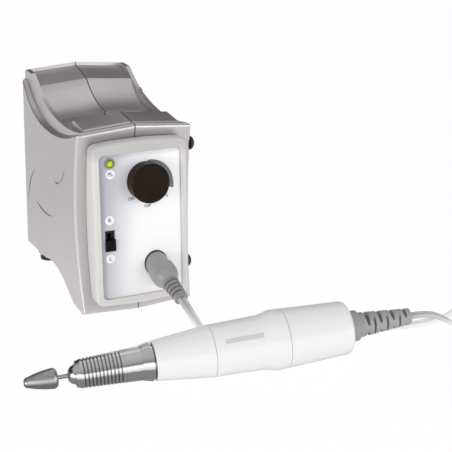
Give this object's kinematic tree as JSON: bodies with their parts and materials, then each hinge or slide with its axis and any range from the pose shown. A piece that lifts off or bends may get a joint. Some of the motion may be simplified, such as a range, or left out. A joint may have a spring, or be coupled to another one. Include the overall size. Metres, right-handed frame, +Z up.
{
  "type": "nail drill machine",
  "caption": "Small silver box with a handpiece cradle on top, a speed knob and slide switch on its front, and a corded nail drill handpiece lying in front.",
  "frame": {"origin": "centre of the footprint of the box and the handpiece together, on the surface that they stand on", "axes": "+X to the right seen from the front of the box, +Y towards its back, +Z up"},
  "size_m": [0.3652, 0.2628, 0.1347],
  "materials": {
    "shell": "satin silver",
    "bezel": "gloss",
    "panel": "satin",
    "knob": "gloss",
    "slider": "satin",
    "lamp": "translucent",
    "lamp_ring": "satin",
    "black_plastic": "matte",
    "contact": "plain",
    "board": "lacquer",
    "component": "matte",
    "steel": "plain",
    "copper": "wound wire",
    "heat_sink": "plain",
    "fuse": "clear",
    "foot": "matte",
    "plug": "satin",
    "flex": "satin",
    "tie": "matte",
    "housing": "gloss",
    "nose": "polished",
    "sleeve": "grooved",
    "boot": "satin",
    "grit": "abrasive",
    "magnet": "matte",
    "carbon": "matte"
  },
  "bodies": {
    "machine": {"left_shell": "shell", "right_shell": "shell", "bezel": "bezel", "front_panel": "panel", "rear_plate": "black_plastic", "mains_inlet": "black_plastic", "inlet_pins": "contact", "fuse_holder": "black_plastic", "fuse_cap": "black_plastic", "fuse": "fuse", "power_lamp": "lamp", "lamp_ring": "lamp_ring", "direction_switch": "black_plastic", "potentiometer": "heat_sink", "pot_nut": "steel", "handpiece_socket": "black_plastic", "socket_contacts": "contact", "circuit_board": "board", "board_screws": "steel", "heat_sink": "heat_sink", "power_transistor": "component", "capacitor": "component", "rectifier": "component", "relay": "component", "transformer_core": "steel", "transformer_frame": "steel", "transformer_coil": "copper", "transformer_screws": "steel", "shell_screws": "steel", "base_feet": "foot", "side_feet": "foot", "plug_body": "plug", "plug_pins": "contact", "plug_boot": "plug", "cord_front": "flex", "cord_coil": "flex", "cord_tie": "tie", "cord_back": "flex", "handpiece_boot": "boot", "rear_cap": "housing", "middle_housing": "housing", "front_housing": "housing", "nose_housing": "nose", "nose_cap": "nose", "spindle_bearings": "steel", "motor_can": "steel", "motor_magnets": "magnet", "carbon_brushes": "carbon", "motor_end_bell": "black_plastic"},
    "knob": {"speed_knob": "knob", "pot_shaft": "heat_sink"},
    "slider": {"direction_slider": "slider"},
    "rotor": {"spindle": "steel", "motor_coupling": "steel", "armature": "steel", "commutator": "copper"},
    "sleeve": {"twist_sleeve": "sleeve"},
    "collet": {"collet": "steel"},
    "bit": {"bit_shank": "steel", "bit_head": "grit"}
  },
  "joints": [
    {"name": "speed_turn", "type": "hinge", "parent": "machine", "child": "knob", "pos_m": [-0.01, 0.00184, 0.08625], "axis": [0, 0.9971, -0.0767], "range_deg": [0, 300]},
    {"name": "direction_slide", "type": "slide", "parent": "machine", "child": "slider", "axis": [0, 0.0767, 0.9971], "range_m": [0, 0.0056]},
    {"name": "spindle_spin", "type": "hinge", "parent": "machine", "child": "rotor", "pos_m": [-0.0084, -0.0891, 0.01466], "axis": [0.9817, -0.1766, 0.0707], "continuous": true},
    {"name": "sleeve_twist", "type": "hinge", "parent": "machine", "child": "sleeve", "pos_m": [-0.0084, -0.0891, 0.01466], "axis": [0.9817, -0.1766, 0.0707], "range_deg": [0, 90]},
    {"name": "collet_slide", "type": "slide", "parent": "rotor", "child": "collet", "axis": [-0.9817, 0.1766, -0.0707], "range_m": [0, 0.0008]},
    {"name": "bit_pull", "type": "slide", "parent": "rotor", "child": "bit", "axis": [-0.9817, 0.1766, -0.0707], "range_m": [0, 0.03]}
  ],
  "couplings": [
    {"joint": "collet_slide", "follows": "sleeve_twist", "m_per_rad": 0.000509}
  ]
}
